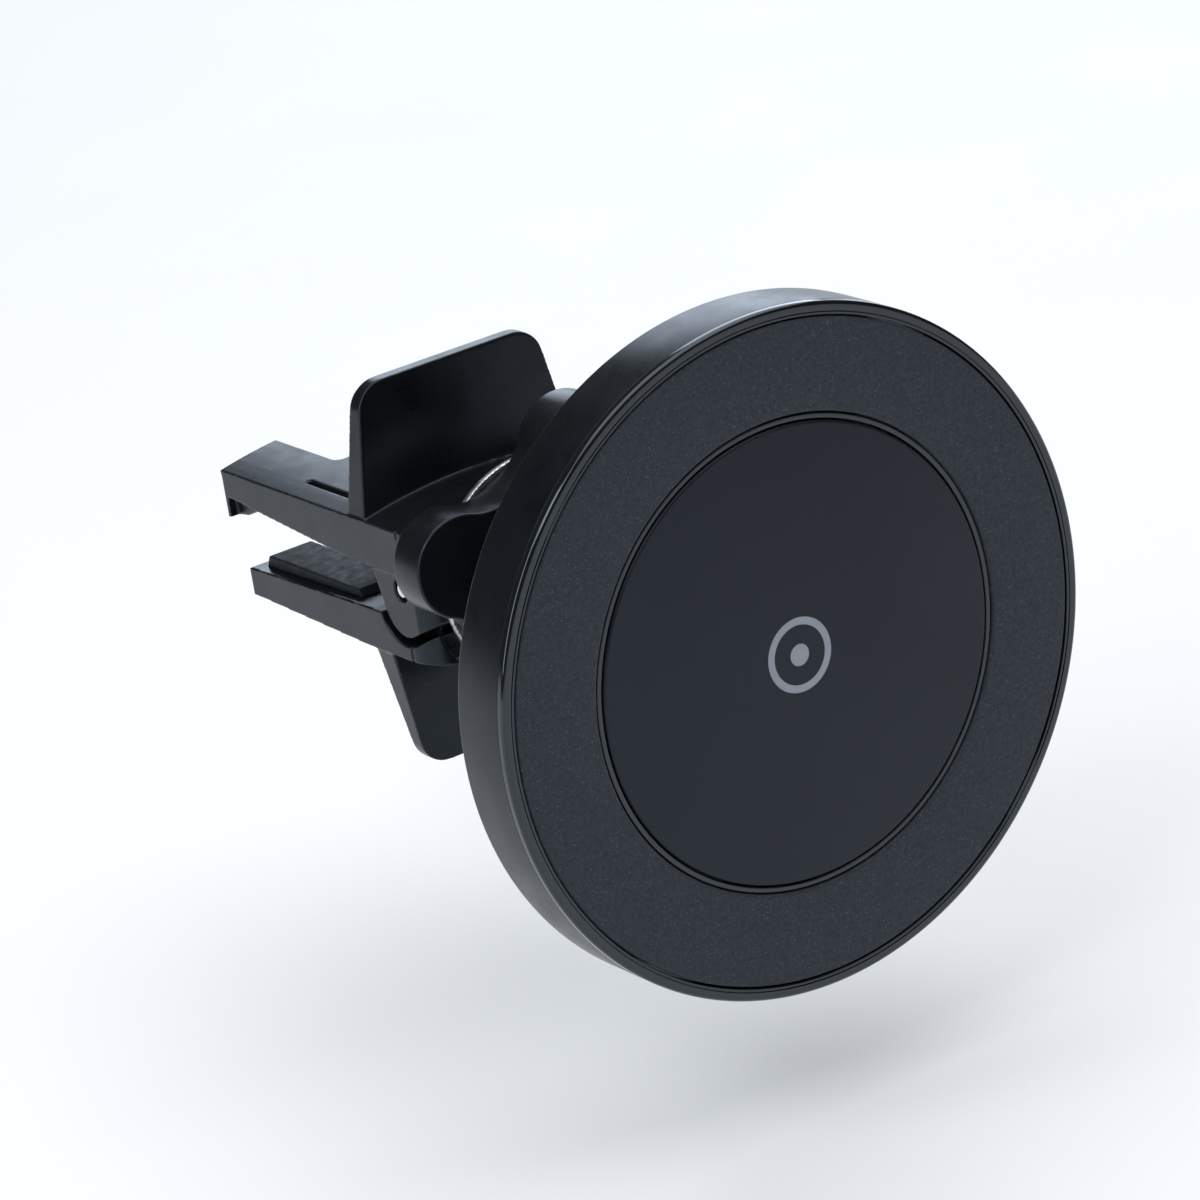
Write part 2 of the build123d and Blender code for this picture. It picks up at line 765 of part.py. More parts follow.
start_angle = leg_angle(upper_leg_z, 1)
end_angle = leg_angle(lower_leg_z, -1)
turns = coil_turns + ((end_angle - start_angle) % 360) / 360
coil_plane = Plane(
    origin=(coil_start_x, pivot_y, 0),
    x_dir=(0, cos(radians(start_angle)), sin(radians(start_angle))),
    z_dir=(1, 0, 0),
)
coil_edge = coil_plane * Helix(coil_pitch, coil_pitch * turns, coil_r)
with BuildPart() as jaw_springs:
    with BuildSketch(Plane(origin=coil_edge @ 0, z_dir=coil_edge % 0)):
        Circle(wire_r)
    sweep(path=coil_edge, is_frenet=True)
    for foot, leg_z in ((coil_edge @ 0, upper_leg_z), (coil_edge @ 1, lower_leg_z)):
        leg = Vector(foot.X, pivot_y + leg_reach_y, leg_z) - foot
        with BuildSketch(Plane(origin=foot, z_dir=leg)):
            Circle(wire_r)
        extrude(amount=leg.length)
    mirror(about=Plane.YZ)
save(jaw_springs.part, "jaw_springs")
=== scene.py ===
import json
import math

import bmesh
import bpy
from mathutils import Matrix, Vector

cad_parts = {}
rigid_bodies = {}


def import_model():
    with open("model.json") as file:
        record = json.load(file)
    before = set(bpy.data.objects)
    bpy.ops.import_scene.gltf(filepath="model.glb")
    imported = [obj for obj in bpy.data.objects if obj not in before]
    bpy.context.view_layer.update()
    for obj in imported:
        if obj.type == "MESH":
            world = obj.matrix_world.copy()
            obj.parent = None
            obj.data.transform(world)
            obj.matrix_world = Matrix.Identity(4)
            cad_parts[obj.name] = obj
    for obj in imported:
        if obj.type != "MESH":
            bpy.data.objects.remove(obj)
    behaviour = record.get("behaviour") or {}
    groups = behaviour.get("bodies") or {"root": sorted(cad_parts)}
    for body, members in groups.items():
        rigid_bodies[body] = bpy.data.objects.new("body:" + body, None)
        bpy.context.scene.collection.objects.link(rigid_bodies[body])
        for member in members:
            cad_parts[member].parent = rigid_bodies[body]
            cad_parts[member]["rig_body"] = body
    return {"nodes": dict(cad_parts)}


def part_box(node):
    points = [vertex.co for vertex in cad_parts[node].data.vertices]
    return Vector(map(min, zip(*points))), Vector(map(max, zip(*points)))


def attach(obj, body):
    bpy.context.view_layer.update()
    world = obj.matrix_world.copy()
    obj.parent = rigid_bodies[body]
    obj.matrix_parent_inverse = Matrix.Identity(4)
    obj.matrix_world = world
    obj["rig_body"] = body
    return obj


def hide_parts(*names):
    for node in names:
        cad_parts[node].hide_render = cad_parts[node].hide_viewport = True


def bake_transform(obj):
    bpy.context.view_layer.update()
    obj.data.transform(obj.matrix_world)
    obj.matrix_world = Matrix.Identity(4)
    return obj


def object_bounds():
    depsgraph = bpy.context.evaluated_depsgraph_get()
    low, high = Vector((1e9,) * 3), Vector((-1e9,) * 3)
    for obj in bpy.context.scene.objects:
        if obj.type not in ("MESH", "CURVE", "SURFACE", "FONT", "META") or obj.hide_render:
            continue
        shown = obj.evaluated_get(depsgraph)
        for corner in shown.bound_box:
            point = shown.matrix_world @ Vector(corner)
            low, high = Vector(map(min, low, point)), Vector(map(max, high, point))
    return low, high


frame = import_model()
cad_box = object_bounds()

MM = 0.001
AXIS_SEGMENTS = 256  # round pieces about the head's axis
SMOOTH_ANGLE = 32  # edges sharper than this, in degrees, stay sharp
NOISE_MID = (0.35, 0.65)  # the part of a noise's range that a hard mix uses
NOISE_WIDE = (0.3, 0.7)  # the part of it that a soft mix uses

# ---------------------------------------------------------------- sizes, in metres
HEAD_DEPTH = 6.9 * MM
WALL = 1.2 * MM
RING_GAP = 0.15 * MM  # between neighbouring rings on the face
MARK_WIDTH = 0.7 * MM
MARK_DOT_R = 1.0 * MM
SCREW_CIRCLE_R = 17.5 * MM
SCREW_HEAD_HOLE_R = 2.0 * MM
SCREW_HEAD_DEPTH = 0.7 * MM
SCREW_SHANK_HOLE_R = 1.1 * MM

# ---------------------------------------------------------------- places, from the frame
FACE_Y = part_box("grip_ring")[0].y
GRIP_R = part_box("grip_ring")[1].x
GRIP_BACK_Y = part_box("grip_ring")[1].y
HEAD_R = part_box("bezel_ring")[1].x
RIM_Y = FACE_Y + HEAD_DEPTH
PLATE_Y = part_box("centre_plate")[0].y
PLATE_BACK_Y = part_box("centre_plate")[1].y
PLATE_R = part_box("centre_plate")[1].x
TRIM_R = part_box("centre_trim_ring")[1].x
MARK_OUT_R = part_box("centre_mark")[1].x
MARK_IN_R = MARK_OUT_R - MARK_WIDTH
NECK_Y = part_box("head_back_cover")[1].y


# ---------------------------------------------------------------- mesh helpers

def mesh_piece(name, points, faces, smooth_angle=SMOOTH_ANGLE):
    """A new object from points and faces, shaded smooth up to an angle."""
    mesh = bpy.data.meshes.new(name)
    mesh.from_pydata([tuple(p) for p in points], [], faces)
    mesh.validate()
    piece = bpy.data.objects.new(name, mesh)
    bpy.context.scene.collection.objects.link(piece)
    shade(piece, smooth_angle)
    return piece


def shade(piece, smooth_angle):
    """Smooth shading, with edges sharper than the angle kept sharp."""
    mesh = piece.data
    mesh.shade_smooth()
    mesh.set_sharp_from_angle(angle=math.radians(smooth_angle))


def rounded(outline, radii, steps):
    """The closed outline with its corners rounded, by one radius for each corner."""
    count = len(outline)
    points = []
    for i, corner in enumerate(outline):
        here = Vector(corner)
        if radii[i] <= 0:
            points.append(here)
            continue
        before = Vector(outline[i - 1]) - here
        after = Vector(outline[(i + 1) % count]) - here
        angle = before.angle(after)
        if angle > math.radians(178):
            points.append(here)
            continue
        reach = radii[i] / math.tan(angle / 2)
        reach = min(reach, 0.49 * before.length, 0.49 * after.length)
        size = reach * math.tan(angle / 2)
        bisector = (before.normalized() + after.normalized()).normalized()
        centre = here + bisector * (size / math.sin(angle / 2))
        start = here + before.normalized() * reach - centre
        end = here + after.normalized() * reach - centre
        for step in range(steps + 1):
            share = step / steps
            points.append(centre + start.slerp(end, share, start).normalized() * size)
    return points


def lathe(name, outline, segments=AXIS_SEGMENTS):
    """A turned piece about the head's axis, from an outline of (radius, y) in metres."""
    count = len(outline)
    points = []
    for s in range(segments):
        turn = 2 * math.pi * s / segments
        for radius, y in outline:
            points.append((radius * math.cos(turn), y, radius * math.sin(turn)))
    faces = []
    for s in range(segments):
        here, there = s * count, (s + 1) % segments * count
        for i in range(count):
            j = (i + 1) % count
            faces.append((here + i, here + j, there + j, there + i))
    piece = mesh_piece(name, points, faces)
    tidy(piece)
    return piece


def tidy(piece, smooth_angle=SMOOTH_ANGLE):
    """Joins doubled points, closes the ends and points the faces outwards."""
    work = bmesh.new()
    work.from_mesh(piece.data)
    bmesh.ops.remove_doubles(work, verts=work.verts, dist=1e-7)
    bmesh.ops.dissolve_degenerate(work, edges=work.edges, dist=1e-8)
    bmesh.ops.recalc_face_normals(work, faces=work.faces)
    work.to_mesh(piece.data)
    work.free()
    shade(piece, smooth_angle)


def applied(piece):
    """The piece's mesh with its modifiers applied."""
    bpy.context.view_layer.update()
    graph = bpy.context.evaluated_depsgraph_get()
    made = bpy.data.meshes.new_from_object(piece.evaluated_get(graph))
    piece.modifiers.clear()
    return made


def finish_piece(piece, node, material):
    """The piece stands for its CAD node: it joins the same body, the node is hidden and the piece takes
    the material.
    """
    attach(piece, frame["nodes"][node]["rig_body"])
    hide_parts(node)
    piece.data.materials.clear()
    piece.data.materials.append(material)


def moulded(node, voxel, smooth_steps, keep):
    """A finely meshed copy of a CAD node with softly rounded edges; keep is the share of faces kept."""
    piece = frame["nodes"][node].copy()
    piece.data = piece.data.copy()
    piece.name = node + "_skin"
    for key in list(piece.keys()):
        del piece[key]
    piece.parent = None
    piece.hide_render = False
    piece.hide_viewport = False
    bpy.context.scene.collection.objects.link(piece)
    work = bmesh.new()
    work.from_mesh(piece.data)
    bmesh.ops.remove_doubles(work, verts=work.verts, dist=1e-6)
    work.to_mesh(piece.data)
    work.free()
    remesh = piece.modifiers.new("remesh", "REMESH")
    remesh.mode = "VOXEL"
    remesh.voxel_size = voxel
    smooth = piece.modifiers.new("smooth", "SMOOTH")
    smooth.factor = 0.5
    smooth.iterations = smooth_steps
    thin = piece.modifiers.new("thin", "DECIMATE")
    thin.ratio = keep
    even = piece.modifiers.new("even", "WEIGHTED_NORMAL")
    even.weight = 90
    piece.data = applied(piece)
    piece.data.shade_smooth()
    return piece


# ---------------------------------------------------------------- materials

COOL = (0.7, 0.85, 1.0, 1)  # everything but the metals reflects a little blue


class Nodes:
    """A node material with the few helpers that these materials share."""

    def __init__(self, name, color, roughness, **sockets):
        self.material = bpy.data.materials.new(name)
        self.material.use_nodes = True
        self.tree = self.material.node_tree
        self.shader = self.tree.nodes["Principled BSDF"]
        self.shader.inputs["Base Color"].default_value = (*color, 1)
        self.shader.inputs["Roughness"].default_value = roughness
        for socket, value in sockets.items():
            self.shader.inputs[socket.replace("_", " ")].default_value = value
        if "Metallic" not in sockets:
            self.shader.inputs["Specular Tint"].default_value = COOL
        self.place = self.tree.nodes.new("ShaderNodeTexCoord").outputs["Object"]

    def add(self, kind, **values):
        node = self.tree.nodes.new(kind)
        for key, value in values.items():
            setattr(node, key, value)
        return node

    def link(self, source, target):
        self.tree.links.new(source, target)

    def noise(self, scale, detail=3.0, roughness=0.55, place=None):
        node = self.add("ShaderNodeTexNoise")
        node.inputs["Scale"].default_value = scale
        node.inputs["Detail"].default_value = detail
        node.inputs["Roughness"].default_value = roughness
        self.link(place or self.place, node.inputs["Vector"])
        return node.outputs["Fac"]

    def spread(self, source, low, high, to_low, to_high):
        """The source mapped from one range to another."""
        node = self.add("ShaderNodeMapRange")
        ends = (("From Min", low), ("From Max", high), ("To Min", to_low), ("To Max", to_high))
        for socket, value in ends:
            node.inputs[socket].default_value = value
        self.link(source, node.inputs["Value"])
        return node.outputs["Result"]

    def mix(self, share, first, second):
        node = self.add("ShaderNodeMix", data_type="RGBA")
        self.link(share, node.inputs["Factor"])
        for socket, value in ((node.inputs["A"], first), (node.inputs["B"], second)):
            if isinstance(value, tuple):
                socket.default_value = (*value, 1)
            else:
                self.link(value, socket)
        return node.outputs["Result"]

    def math(self, operation, first, second):
        node = self.add("ShaderNodeMath", operation=operation)
        for socket, value in zip(node.inputs, (first, second)):
            if isinstance(value, (int, float)):
                socket.default_value = value
            else:
                self.link(value, socket)
        return node.outputs["Value"]

    def bump(self, height, strength, distance):
        node = self.add("ShaderNodeBump")
        node.inputs["Strength"].default_value = strength
        node.inputs["Distance"].default_value = distance
        self.link(height, node.inputs["Height"])
        return node.outputs["Normal"]

    def out(self, socket, source):
        self.link(source, self.shader.inputs[socket])


def moulded_plastic(name, color, roughness):
    """Spark-eroded black plastic: a fine even grain, faint handling marks and soft colour drift."""
    made = Nodes(name, color, roughness, Specular_IOR_Level=0.4)
    drift = made.noise(90, 4)
    bright = tuple(min(1, c * 1.35 + 0.002) for c in color)
    dark = tuple(c * 0.8 for c in color)
    made.out("Base Color", made.mix(made.spread(drift, *NOISE_MID, 0, 1), dark, bright))
    handled = made.noise(260, 5, 0.6)
    made.out("Roughness", made.spread(handled, *NOISE_WIDE, roughness - 0.05, roughness + 0.07))
    fine = made.noise(5200, 2)
    made.out("Normal", made.bump(fine, 0.13, 0.03 * MM))
    return made.material


def gloss_plastic(name, color, roughness):
    """Polished black plastic with faint moulding waviness."""
    coat = {"Coat_Weight": 0.35, "Coat_Roughness": 0.06}
    made = Nodes(name, color, roughness, Specular_IOR_Level=0.55, **coat)
    haze = made.noise(400, 4)
    made.out("Roughness", made.spread(haze, *NOISE_WIDE, roughness * 0.8, roughness * 1.3))
    made.out("Normal", made.bump(made.noise(160, 2), 0.04, 0.1 * MM))
    return made.material


def satin_plastic(name, color, roughness):
    """Smooth lacquered disc, a little uneven in sheen."""
    made = Nodes(name, color, roughness, Specular_IOR_Level=0.4)
    cloud = made.noise(60, 3)
    made.out("Roughness", made.spread(cloud, *NOISE_WIDE, roughness - 0.04, roughness + 0.05))
    warm = tuple(c * 0.9 for c in color)
    made.out("Base Color", made.mix(made.noise(900, 4), warm, tuple(c * 1.12 for c in color)))
    made.out("Normal", made.bump(made.noise(3800, 2), 0.06, 0.02 * MM))
    return made.material


def speckled_silicone(name, color):
    """Dark silicone with a fine bright speckle and a soft bloom."""
    bloom = {"Sheen_Weight": 0.08, "Sheen_Roughness": 0.5}
    made = Nodes(name, color, 0.62, Specular_IOR_Level=0.35, **bloom)
    cells = made.add("ShaderNodeTexVoronoi")
    cells.inputs["Scale"].default_value = 6500  # cells to a metre, each about 0.15 mm across
    made.link(made.place, cells.inputs["Vector"])
    pick = made.add("ShaderNodeSeparateColor")
    made.link(cells.outputs["Color"], pick.inputs["Color"])
    chosen = made.spread(pick.outputs["Red"], 0.8, 1.0, 0, 1)
    core = made.spread(cells.outputs["Distance"], 0.2, 0.42, 1, 0)
    speck = made.math("MULTIPLY", chosen, core)
    clouds = made.spread(made.noise(2400, 3), *NOISE_MID, 0, 1)
    mottled = made.mix(clouds, tuple(c * 0.8 for c in color), tuple(c * 1.22 for c in color))
    made.out("Base Color", made.mix(speck, mottled, (0.14, 0.155, 0.18)))
    uneven = made.noise(1500, 3)
    made.out("Roughness", made.spread(uneven, *NOISE_WIDE, 0.55, 0.7))
    made.out("Normal", made.bump(made.noise(4200, 3), 0.35, 0.04 * MM))
    return made.material


def metal(name, color, roughness, brushed=None):
    """Metal with fine working marks; brushed names the scale along X, Y and Z of the marks."""
    made = Nodes(name, color, roughness, Metallic=1.0)
    place = made.place
    if brushed:
        stretch = made.add("ShaderNodeMapping")
        stretch.inputs["Scale"].default_value = brushed
        made.link(made.place, stretch.inputs["Vector"])
        place = stretch.outputs["Vector"]
    marks = made.noise(1800, 5, 0.6, place)
    made.out("Roughness", made.spread(marks, *NOISE_WIDE, roughness * 0.75, roughness * 1.35))
    made.out("Base Color", made.mix(made.noise(300, 3), tuple(c * 0.82 for c in color), color))
    made.out("Normal", made.bump(marks, 0.1, 0.03 * MM))
    return made.material


def soft_rubber(name, color, roughness):
    """Dull rubber, mottled in colour and sheen."""
    made = Nodes(name, color, roughness, Specular_IOR_Level=0.3)
    made.out("Base Color", made.mix(made.noise(700, 4), color, tuple(c * 1.5 for c in color)))
    uneven = made.noise(900, 4)
    made.out("Roughness", made.spread(uneven, *NOISE_WIDE, roughness - 0.08, roughness + 0.08))
    made.out("Normal", made.bump(made.noise(3000, 3), 0.3, 0.05 * MM))
    return made.material


housing = moulded_plastic("housing_black", (0.003, 0.0036, 0.0049), 0.29)
jaw = moulded_plastic("jaw_black", (0.0033, 0.0039, 0.0052), 0.29)
nut_black = moulded_plastic("nut_black", (0.004, 0.0047, 0.0058), 0.3)
bezel = gloss_plastic("bezel_black", (0.006, 0.0066, 0.008), 0.09)
trim = gloss_plastic("trim_black", (0.011, 0.012, 0.014), 0.3)
plate = satin_plastic("plate_black", (0.0068, 0.0076, 0.0118), 0.42)
silicone = speckled_silicone("grip_grey", (0.027, 0.0302, 0.040))
ink = satin_plastic("mark_grey", (0.33, 0.36, 0.41), 0.5)
pad_black = soft_rubber("pad_black", (0.009, 0.0102, 0.0125), 0.58)
film = soft_rubber("film_grey", (0.03, 0.03, 0.03), 0.8)
carrier = moulded_plastic("carrier_black", (0.02, 0.02, 0.02), 0.5)
nylon = moulded_plastic("nylon_white", (0.62, 0.61, 0.56), 0.45)
cast = metal("cup_silver", (0.62, 0.63, 0.65), 0.34)
bright = metal("pin_bright", (0.78, 0.78, 0.79), 0.16, (1, 8, 8))
steel = metal("stud_steel", (0.55, 0.55, 0.56), 0.24, (8, 1, 8))
zinc = metal("zinc_steel", (0.52, 0.53, 0.54), 0.3)
dark_screw = metal("screw_dark", (0.09, 0.09, 0.095), 0.38)
brass = metal("insert_brass", (0.7, 0.5, 0.22), 0.28)
nickel = metal("magnet_nickel", (0.62, 0.6, 0.56), 0.2)
wire = metal("spring_wire", (0.42, 0.42, 0.42), 0.3)

# ---------------------------------------------------------------- head pieces


def cut_holes(piece, radius, floor_y):
    """Four round holes from the back wall inwards, where the cover screws sit."""
    reach = SCREW_CIRCLE_R * math.sqrt(0.5)
    top_y = RIM_Y + 0.3 * MM
    steps = 40
    points, faces = [], []
    for x in (-reach, reach):
        for z in (-reach, reach):
            first = len(points)
            for s in range(steps):
                turn = 2 * math.pi * s / steps
                across, upward = x + radius * math.cos(turn), z + radius * math.sin(turn)
                points += [(across, floor_y, upward), (across, top_y, upward)]
            for s in range(steps):
                near, far = first + 2 * s, first + 2 * ((s + 1) % steps)
                faces.append((near, far, far + 1, near + 1))
            faces.append(tuple(range(first, first + 2 * steps, 2)))
            faces.append(tuple(range(first + 1, first + 2 * steps, 2)))
    cutter = mesh_piece("screw_cutter", points, faces)
    tidy(cutter)
    cut = piece.modifiers.new("cut", "BOOLEAN")
    cut.operation = "DIFFERENCE"
    cut.solver = "EXACT"
    cut.object = cutter
    piece.data = applied(piece)
    bpy.data.objects.remove(cutter)
    shade(piece, SMOOTH_ANGLE)


def head_cover():
    """Rear shell: skirt with a crisp back edge, back wall with screw holes, cone and its bore."""
    lap_r = HEAD_R - 0.7 * MM  # the front edge is stepped where the bezel laps it
    lap_y = FACE_Y + 0.85 * MM
    skirt_y = FACE_Y + 2.75 * MM
    inside_y = RIM_Y - WALL
    neck_y = NECK_Y - 0.02 * MM
    bore_r = 4.0 * MM
    bore_y = NECK_Y - 8.0 * MM
    axis_r = 0.05 * MM
    corners = [
        (HEAD_R - WALL, skirt_y, 0), (lap_r, skirt_y, 0), (lap_r, lap_y, 0),
        (HEAD_R, lap_y, 0.06), (HEAD_R, RIM_Y, 0.32), (16.6 * MM, RIM_Y, 1.6),
        (14.2 * MM, RIM_Y + 0.9 * MM, 2.2), (8.6 * MM, RIM_Y + 6.0 * MM, 3.5),
        (7.4 * MM, neck_y, 0.5), (bore_r, neck_y, 0.15), (bore_r, bore_y, 0),
        (axis_r, bore_y, 0), (axis_r, inside_y, 0), (HEAD_R - WALL, inside_y, 0.3),
    ]
    outline = [(radius, y) for radius, y, _ in corners]
    radii = [rounding * MM for _, _, rounding in corners]
    piece = lathe("head_back_shell", rounded(outline, radii, steps=8))
    cut_holes(piece, SCREW_HEAD_HOLE_R, RIM_Y - SCREW_HEAD_DEPTH)
    cut_holes(piece, SCREW_SHANK_HOLE_R, RIM_Y - WALL - 0.4 * MM)
    finish_piece(piece, "head_back_cover", housing)


def gloss_bezel():
    """Polished ring: a fine bead beside the silicone, a hairline groove, then the full round edge."""
    inner = GRIP_R + RING_GAP
    bead_y = FACE_Y + 0.02 * MM
    groove_y = FACE_Y + 0.14 * MM
    edge_y = FACE_Y + 0.01 * MM
    shoulder_y = FACE_Y + 0.8 * MM
    tail_y = FACE_Y + 2.7 * MM
    tail_r = HEAD_R - 0.75 * MM
    tail_inner_r = HEAD_R - 2.0 * MM
    carrier_y = FACE_Y + 1.45 * MM
    corners = [
        (inner, bead_y, 0.1), (inner + 0.26 * MM, bead_y, 0.1),
        (inner + 0.27 * MM, groove_y, 0.02), (inner + 0.34 * MM, groove_y, 0.02),
        (inner + 0.35 * MM, edge_y, 0.05), (HEAD_R, edge_y, 0.72),
        (HEAD_R, shoulder_y, 0), (tail_r, shoulder_y, 0), (tail_r, tail_y, 0),
        (tail_inner_r, tail_y, 0), (tail_inner_r, carrier_y, 0), (inner, carrier_y, 0),
    ]
    outline = [(radius, y) for radius, y, _ in corners]
    radii = [rounding * MM for _, _, rounding in corners]
    piece = lathe("bezel_gloss_ring", rounded(outline, radii, steps=12))
    finish_piece(piece, "bezel_ring", bezel)


def silicone_ring():
    """Flat silicone band with soft inner and outer edges."""
    inner = TRIM_R + RING_GAP
    outline = [(inner, FACE_Y), (GRIP_R, FACE_Y), (GRIP_R, GRIP_BACK_Y), (inner, GRIP_BACK_Y)]
    piece = lathe("grip_face", rounded(outline, [0.3 * MM, 0.25 * MM, 0, 0], steps=6))
    finish_piece(piece, "grip_ring", silicone)


def centre_disc():
    """Lacquered disc with a soft edge and shallow pockets for the printed mark."""
    floor_y = PLATE_Y + 0.06 * MM
    axis_r = 0.02 * MM
    outline = [(axis_r, floor_y)]
    for radius in (MARK_DOT_R, MARK_IN_R, MARK_OUT_R):
        inside = radius != MARK_IN_R
        near, far = (floor_y, PLATE_Y) if inside else (PLATE_Y, floor_y)
        outline += [(radius, near), (radius, far)]
    outline += [(PLATE_R, PLATE_Y), (PLATE_R, PLATE_BACK_Y), (axis_r, PLATE_BACK_Y)]
    radii = [0] * (len(outline) - 3) + [0.28 * MM, 0, 0]
    piece = lathe("centre_disc", rounded(outline, radii, steps=6))
    finish_piece(piece, "centre_plate", plate)


def printed_mark():
    """A plain ring and dot of ink, a hair thinner than their pockets."""
    top, under = PLATE_Y + 0.01 * MM, PLATE_Y + 0.055 * MM
    axis_r = 0.005 * MM
    spans = (("mark_ring", MARK_IN_R, MARK_OUT_R, AXIS_SEGMENTS), ("mark_dot", axis_r, MARK_DOT_R, 96))
    for name, inner, outer, segments in spans:
        outline = [(inner, top), (outer, top), (outer, under), (inner, under)]
        finish_piece(lathe(name, outline, segments), "centre_mark", ink)


def trim_ring():
    """Fine ring in the groove round the disc."""
    lo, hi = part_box("centre_trim_ring")
    inner = PLATE_R + RING_GAP
    outline = [(inner, lo.y), (TRIM_R, lo.y), (TRIM_R, hi.y), (inner, hi.y)]
    piece = lathe("trim_ring", rounded(outline, [0.12 * MM, 0.12 * MM, 0, 0], steps=4))
    finish_piece(piece, "centre_trim_ring", trim)


head_cover()
gloss_bezel()
silicone_ring()
centre_disc()
trim_ring()
printed_mark()

# ---------------------------------------------------------------- nut, its sizes in millimetres
LOBE_CIRCLE_R = 11.55
LOBE_R = 4.9
NUT_CORE_R = 10.15
LOBE_BLEND_R = 5.5
FIRST_LOBE = 159  # degrees
LOBE_THICKNESS = 4.3
NUT_EDGE = 0.3
HUB_R = 10.0
MOUTH_R = 6.5
BORE_R = 8.95


def arc(centre, radius, begin, end, shares):
    """Points on an arc, at the given shares of the way from begin to end."""
    turns = [begin + (end - begin) * share for share in shares]
    return [centre + Vector((math.cos(t), math.sin(t))) * radius for t in turns]


def nut_outline(inset, steps=14):
    """The four-lobed outline, drawn in by a distance, as points in mm about the head's axis."""
    reach = NUT_CORE_R + LOBE_BLEND_R
    away = LOBE_R + LOBE_BLEND_R
    spread = math.acos((LOBE_CIRCLE_R**2 + reach**2 - away**2) / (2 * LOBE_CIRCLE_R * reach))
    lobe_turn = math.atan2(reach * math.sin(spread), reach * math.cos(spread) - LOBE_CIRCLE_R)
    lobe_shares = [s / (2 * steps) for s in range(2 * steps + 1)]
    blend_shares = [s / steps for s in range(1, steps)]
    core_shares = [s / (steps // 2) for s in range(steps // 2 + 1)]
    points = []
    for k in range(4):
        axis = math.radians(FIRST_LOBE + 90 * k)
        start = axis + spread
        stop = axis + math.pi / 2 - spread
        lobe = Vector((math.cos(axis), math.sin(axis))) * LOBE_CIRCLE_R
        points += arc(lobe, LOBE_R - inset, axis - lobe_turn, axis + lobe_turn, lobe_shares)
        blend = Vector((math.cos(start), math.sin(start))) * reach
        begin, end = axis + lobe_turn + math.pi, start + math.pi
        points += arc(blend, LOBE_BLEND_R + inset, begin, end, blend_shares)
        points += arc(Vector((0, 0)), NUT_CORE_R - inset, start, stop, core_shares)
        blend = Vector((math.cos(stop), math.sin(stop))) * reach
        begin, end = stop + math.pi, axis + math.pi / 2 - lobe_turn + math.pi
        points += arc(blend, LOBE_BLEND_R + inset, begin, end, blend_shares)
    return points


def lobed_nut():
    """Locking nut: rounded lobes, a raised hub towards the head, and the round mouth."""
    lo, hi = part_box("locking_nut")
    back = hi.y
    front = back - LOBE_THICKNESS * MM
    sections = []
    for s in range(7):
        turn = math.pi / 2 * s / 6
        sections.append((NUT_EDGE * (1 - math.sin(turn)), back - NUT_EDGE * (1 - math.cos(turn)) * MM))
    for s in range(7):
        turn = math.pi / 2 * s / 6
        sections.append((NUT_EDGE * (1 - math.cos(turn)), front + NUT_EDGE * (1 - math.sin(turn)) * MM))
    loops = [[(p.x * MM, y, p.y * MM) for p in nut_outline(inset)] for inset, y in sections]
    angles = [math.atan2(p[2], p[0]) for p in loops[-1]]
    rings = [
        (HUB_R + 0.25, front), (HUB_R + 0.03, front - 0.07 * MM), (HUB_R, front - 0.25 * MM),
        (HUB_R, lo.y + 0.9 * MM), (HUB_R - 0.15, lo.y + 0.45 * MM),
        (HUB_R - 0.5, lo.y + 0.12 * MM), (HUB_R - 1.0, lo.y), (MOUTH_R + 0.4, lo.y),
        (MOUTH_R + 0.12, lo.y + 0.1 * MM), (MOUTH_R, lo.y + 0.35 * MM), (MOUTH_R, lo.y + 1.1 * MM),
        (BORE_R, lo.y + 2.0 * MM), (BORE_R, back),
    ]
    for radius, y in rings:
        loops.append([(radius * MM * math.cos(a), y, radius * MM * math.sin(a)) for a in angles])
    count = len(loops[0])
    points = [p for loop in loops for p in loop]
    faces = []
    for k in range(len(loops)):
        here, there = k * count, (k + 1) % len(loops) * count
        for i in range(count):
            j = (i + 1) % count
            faces.append((here + i, here + j, there + j, there + i))
    piece = mesh_piece("nut_body", points, faces)
    tidy(piece, smooth_angle=35)
    finish_piece(piece, "locking_nut", nut_black)


lobed_nut()

# ---------------------------------------------------------------- socket cup, jaws and pads
MOULDED = (
    ("socket_cup", 0.16 * MM, 4, 0.5, cast),
    ("upper_jaw", 0.1 * MM, 11, 0.2, jaw),
    ("lower_jaw", 0.1 * MM, 11, 0.25, jaw),
    ("lower_jaw_pads", 0.1 * MM, 5, 0.35, pad_black),
)
for node, voxel, smooth_steps, keep, material in MOULDED:
    finish_piece(moulded(node, voxel, smooth_steps, keep), node, material)

# ---------------------------------------------------------------- springs


def torsion_springs():
    """One spring each side, cut from the springs' mesh; its coil is wound along the pin."""
    for side, name in ((1, "spring_right"), (-1, "spring_left")):
        work = bmesh.new()
        work.from_mesh(frame["nodes"]["jaw_springs"].data)
        bmesh.ops.remove_doubles(work, verts=work.verts, dist=1e-7)
        away = [v for v in work.verts if v.co.x * side < 0]
        bmesh.ops.delete(work, geom=away, context="VERTS")
        mesh = bpy.data.meshes.new(name)
        work.to_mesh(mesh)
        work.free()
        piece = bpy.data.objects.new(name, mesh)
        bpy.context.scene.collection.objects.link(piece)
        shade(piece, 40)
        mesh.materials.append(wire)
        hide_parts("jaw_springs")
        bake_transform(piece)


torsion_springs()

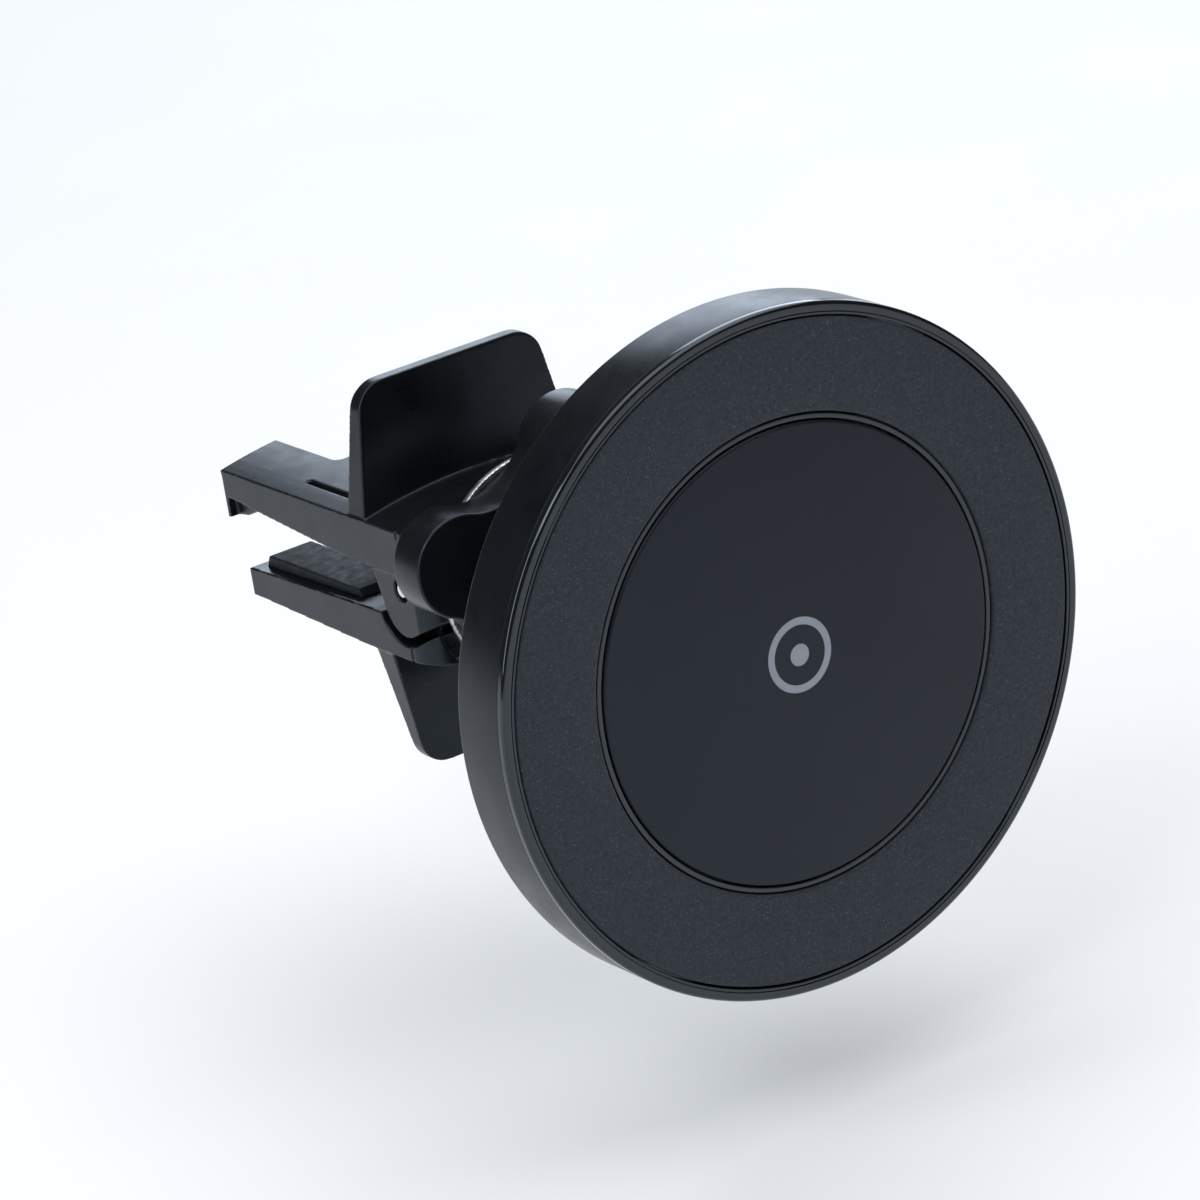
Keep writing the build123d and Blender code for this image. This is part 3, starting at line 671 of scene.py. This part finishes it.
# ---------------------------------------------------------------- CAD nodes that stay
KEPT = {
    "grip_adhesive": film, "magnet_carrier": carrier, "magnet_segments": nickel,
    "shunt_ring": zinc, "cover_screws": dark_screw, "thread_insert": brass, "stud_washer": zinc,
    "ball_stud": steel, "front_ball_ring": nylon, "rear_ball_seat": nylon, "pivot_pin": bright,
    "spring_sleeves": nylon,
}
for node, material in KEPT.items():
    piece = frame["nodes"][node]
    piece.data.materials.clear()
    piece.data.materials.append(material)

# ---------------------------------------------------------------- stage

def soft_light(name, place, target, size, power, color=(1, 1, 1)):
    """A rectangular area light at a place, facing a target."""
    lamp = bpy.data.lights.new(name, "AREA")
    lamp.shape = "RECTANGLE"
    lamp.size, lamp.size_y = size
    lamp.energy = power
    lamp.color = color
    light = bpy.data.objects.new(name, lamp)
    bpy.context.scene.collection.objects.link(light)
    light.location = place
    light.rotation_mode = "QUATERNION"
    light.rotation_quaternion = (Vector(target) - Vector(place)).to_track_quat("-Z", "Y")


def floor():
    """A pale floor under the object, low enough for the tilted head."""
    size, level = 3.0, cad_box[0].z - 12 * MM
    corners = [(-size, -size, level), (size, -size, level), (size, size, level), (-size, size, level)]
    piece = mesh_piece("floor", corners, [(0, 1, 2, 3)])
    paint = Nodes("floor_pale", (0.9, 0.9, 0.9), 0.7)
    paint.out("Roughness", paint.spread(paint.noise(20), *NOISE_WIDE, 0.65, 0.75))
    piece.data.materials.append(paint.material)


floor()
world = bpy.data.worlds.new("studio")
world.use_nodes = True
world.node_tree.nodes["Background"].inputs["Color"].default_value = (0.9, 0.95, 1, 1)
world.node_tree.nodes["Background"].inputs["Strength"].default_value = 0.06
bpy.context.scene.world = world
bpy.context.scene.view_settings.view_transform = "Standard"
soft_light("overhead", (0.15, -0.05, 1.1), (0, 0, 0), (1.6, 1.6), 15)
soft_light("back_right", (0.75, 0.85, 0.42), (0, -0.03, 0), (0.8, 0.7), 4.6, (0.84, 0.94, 1.08))
soft_light("left_panel", (-0.75, 0.02, 0.42), (0, -0.06, 0), (0.3, 0.8), 3.0, (0.92, 0.97, 1.04))
soft_light("front_left", (-0.55, -0.35, 0.62), (0, -0.06, 0), (0.35, 0.25), 1.5, (0.95, 0.98, 1.02))

# ---------------------------------------------------------------- camera, fitted to the head's ellipses
camera_data = bpy.data.cameras.new("camera")
camera_data.lens = 162
camera_data.sensor_width = 36
camera_data.clip_start = 0.01
camera_data.clip_end = 20
camera = bpy.data.objects.new("camera", camera_data)
bpy.context.scene.collection.objects.link(camera)
azimuth = math.radians(-32.29)
elevation = math.radians(20.20)
roll = math.radians(-8.88)
distance = 465.1 * MM
shift_left = 17.95 * MM
shift_up = 4.99 * MM
level_reach = math.cos(elevation)
back = Vector((math.sin(azimuth) * level_reach, -math.cos(azimuth) * level_reach, math.sin(elevation)))
level_right = Vector((math.cos(azimuth), math.sin(azimuth), 0))
level_up = back.cross(level_right)
right = math.cos(roll) * level_right + math.sin(roll) * level_up
up = -math.sin(roll) * level_right + math.cos(roll) * level_up
target = Vector((0, -0.064, 0))
place = target - shift_left * right + shift_up * up + distance * back
camera.matrix_world = Matrix((
    (right.x, up.x, back.x, place.x),
    (right.y, up.y, back.y, place.y),
    (right.z, up.z, back.z, place.z),
    (0, 0, 0, 1),
))
bpy.context.scene.camera = camera
